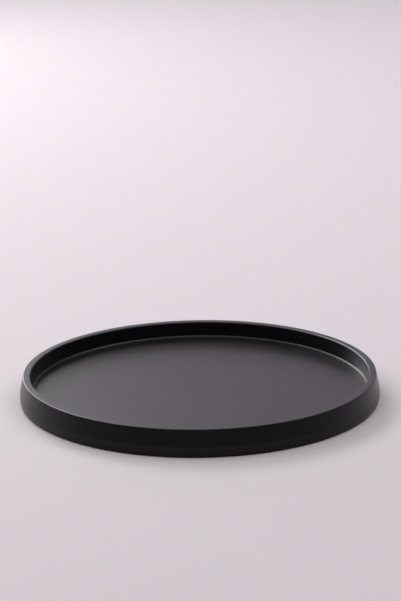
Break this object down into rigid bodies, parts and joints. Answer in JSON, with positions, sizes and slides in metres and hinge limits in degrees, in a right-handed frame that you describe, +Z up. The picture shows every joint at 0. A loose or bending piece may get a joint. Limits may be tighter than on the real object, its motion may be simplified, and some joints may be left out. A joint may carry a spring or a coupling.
{
  "type": "serving tray",
  "caption": "Round serving tray with a flat sunken serving face, a low, gently swelling wall that leans in to a flat rim, rubber feet and a satin black lacquer.",
  "frame": {"origin": "on the table under the tray's centre, in the plane the four feet stand on", "axes": "+Z up out of the serving face; +X to the tray's right; +Y to its back; the feet stand on X and Y"},
  "size_m": [0.35, 0.35, 0.0265],
  "materials": {
    "black_lacquer": "fibreboard sprayed all over with satin black lacquer, no grain showing",
    "black_rubber": "matte moulded rubber",
    "zinc_steel": "bright zinc plated"
  },
  "bodies": {
    "root": {"rim_ring": "black_lacquer", "base_panel": "black_lacquer", "corner_bead": "black_lacquer", "panel_pins": "zinc_steel", "foot_front": "black_rubber", "foot_right": "black_rubber", "foot_back": "black_rubber", "foot_left": "black_rubber", "foot_washers": "zinc_steel", "foot_screws": "zinc_steel"}
  },
  "joints": []
}
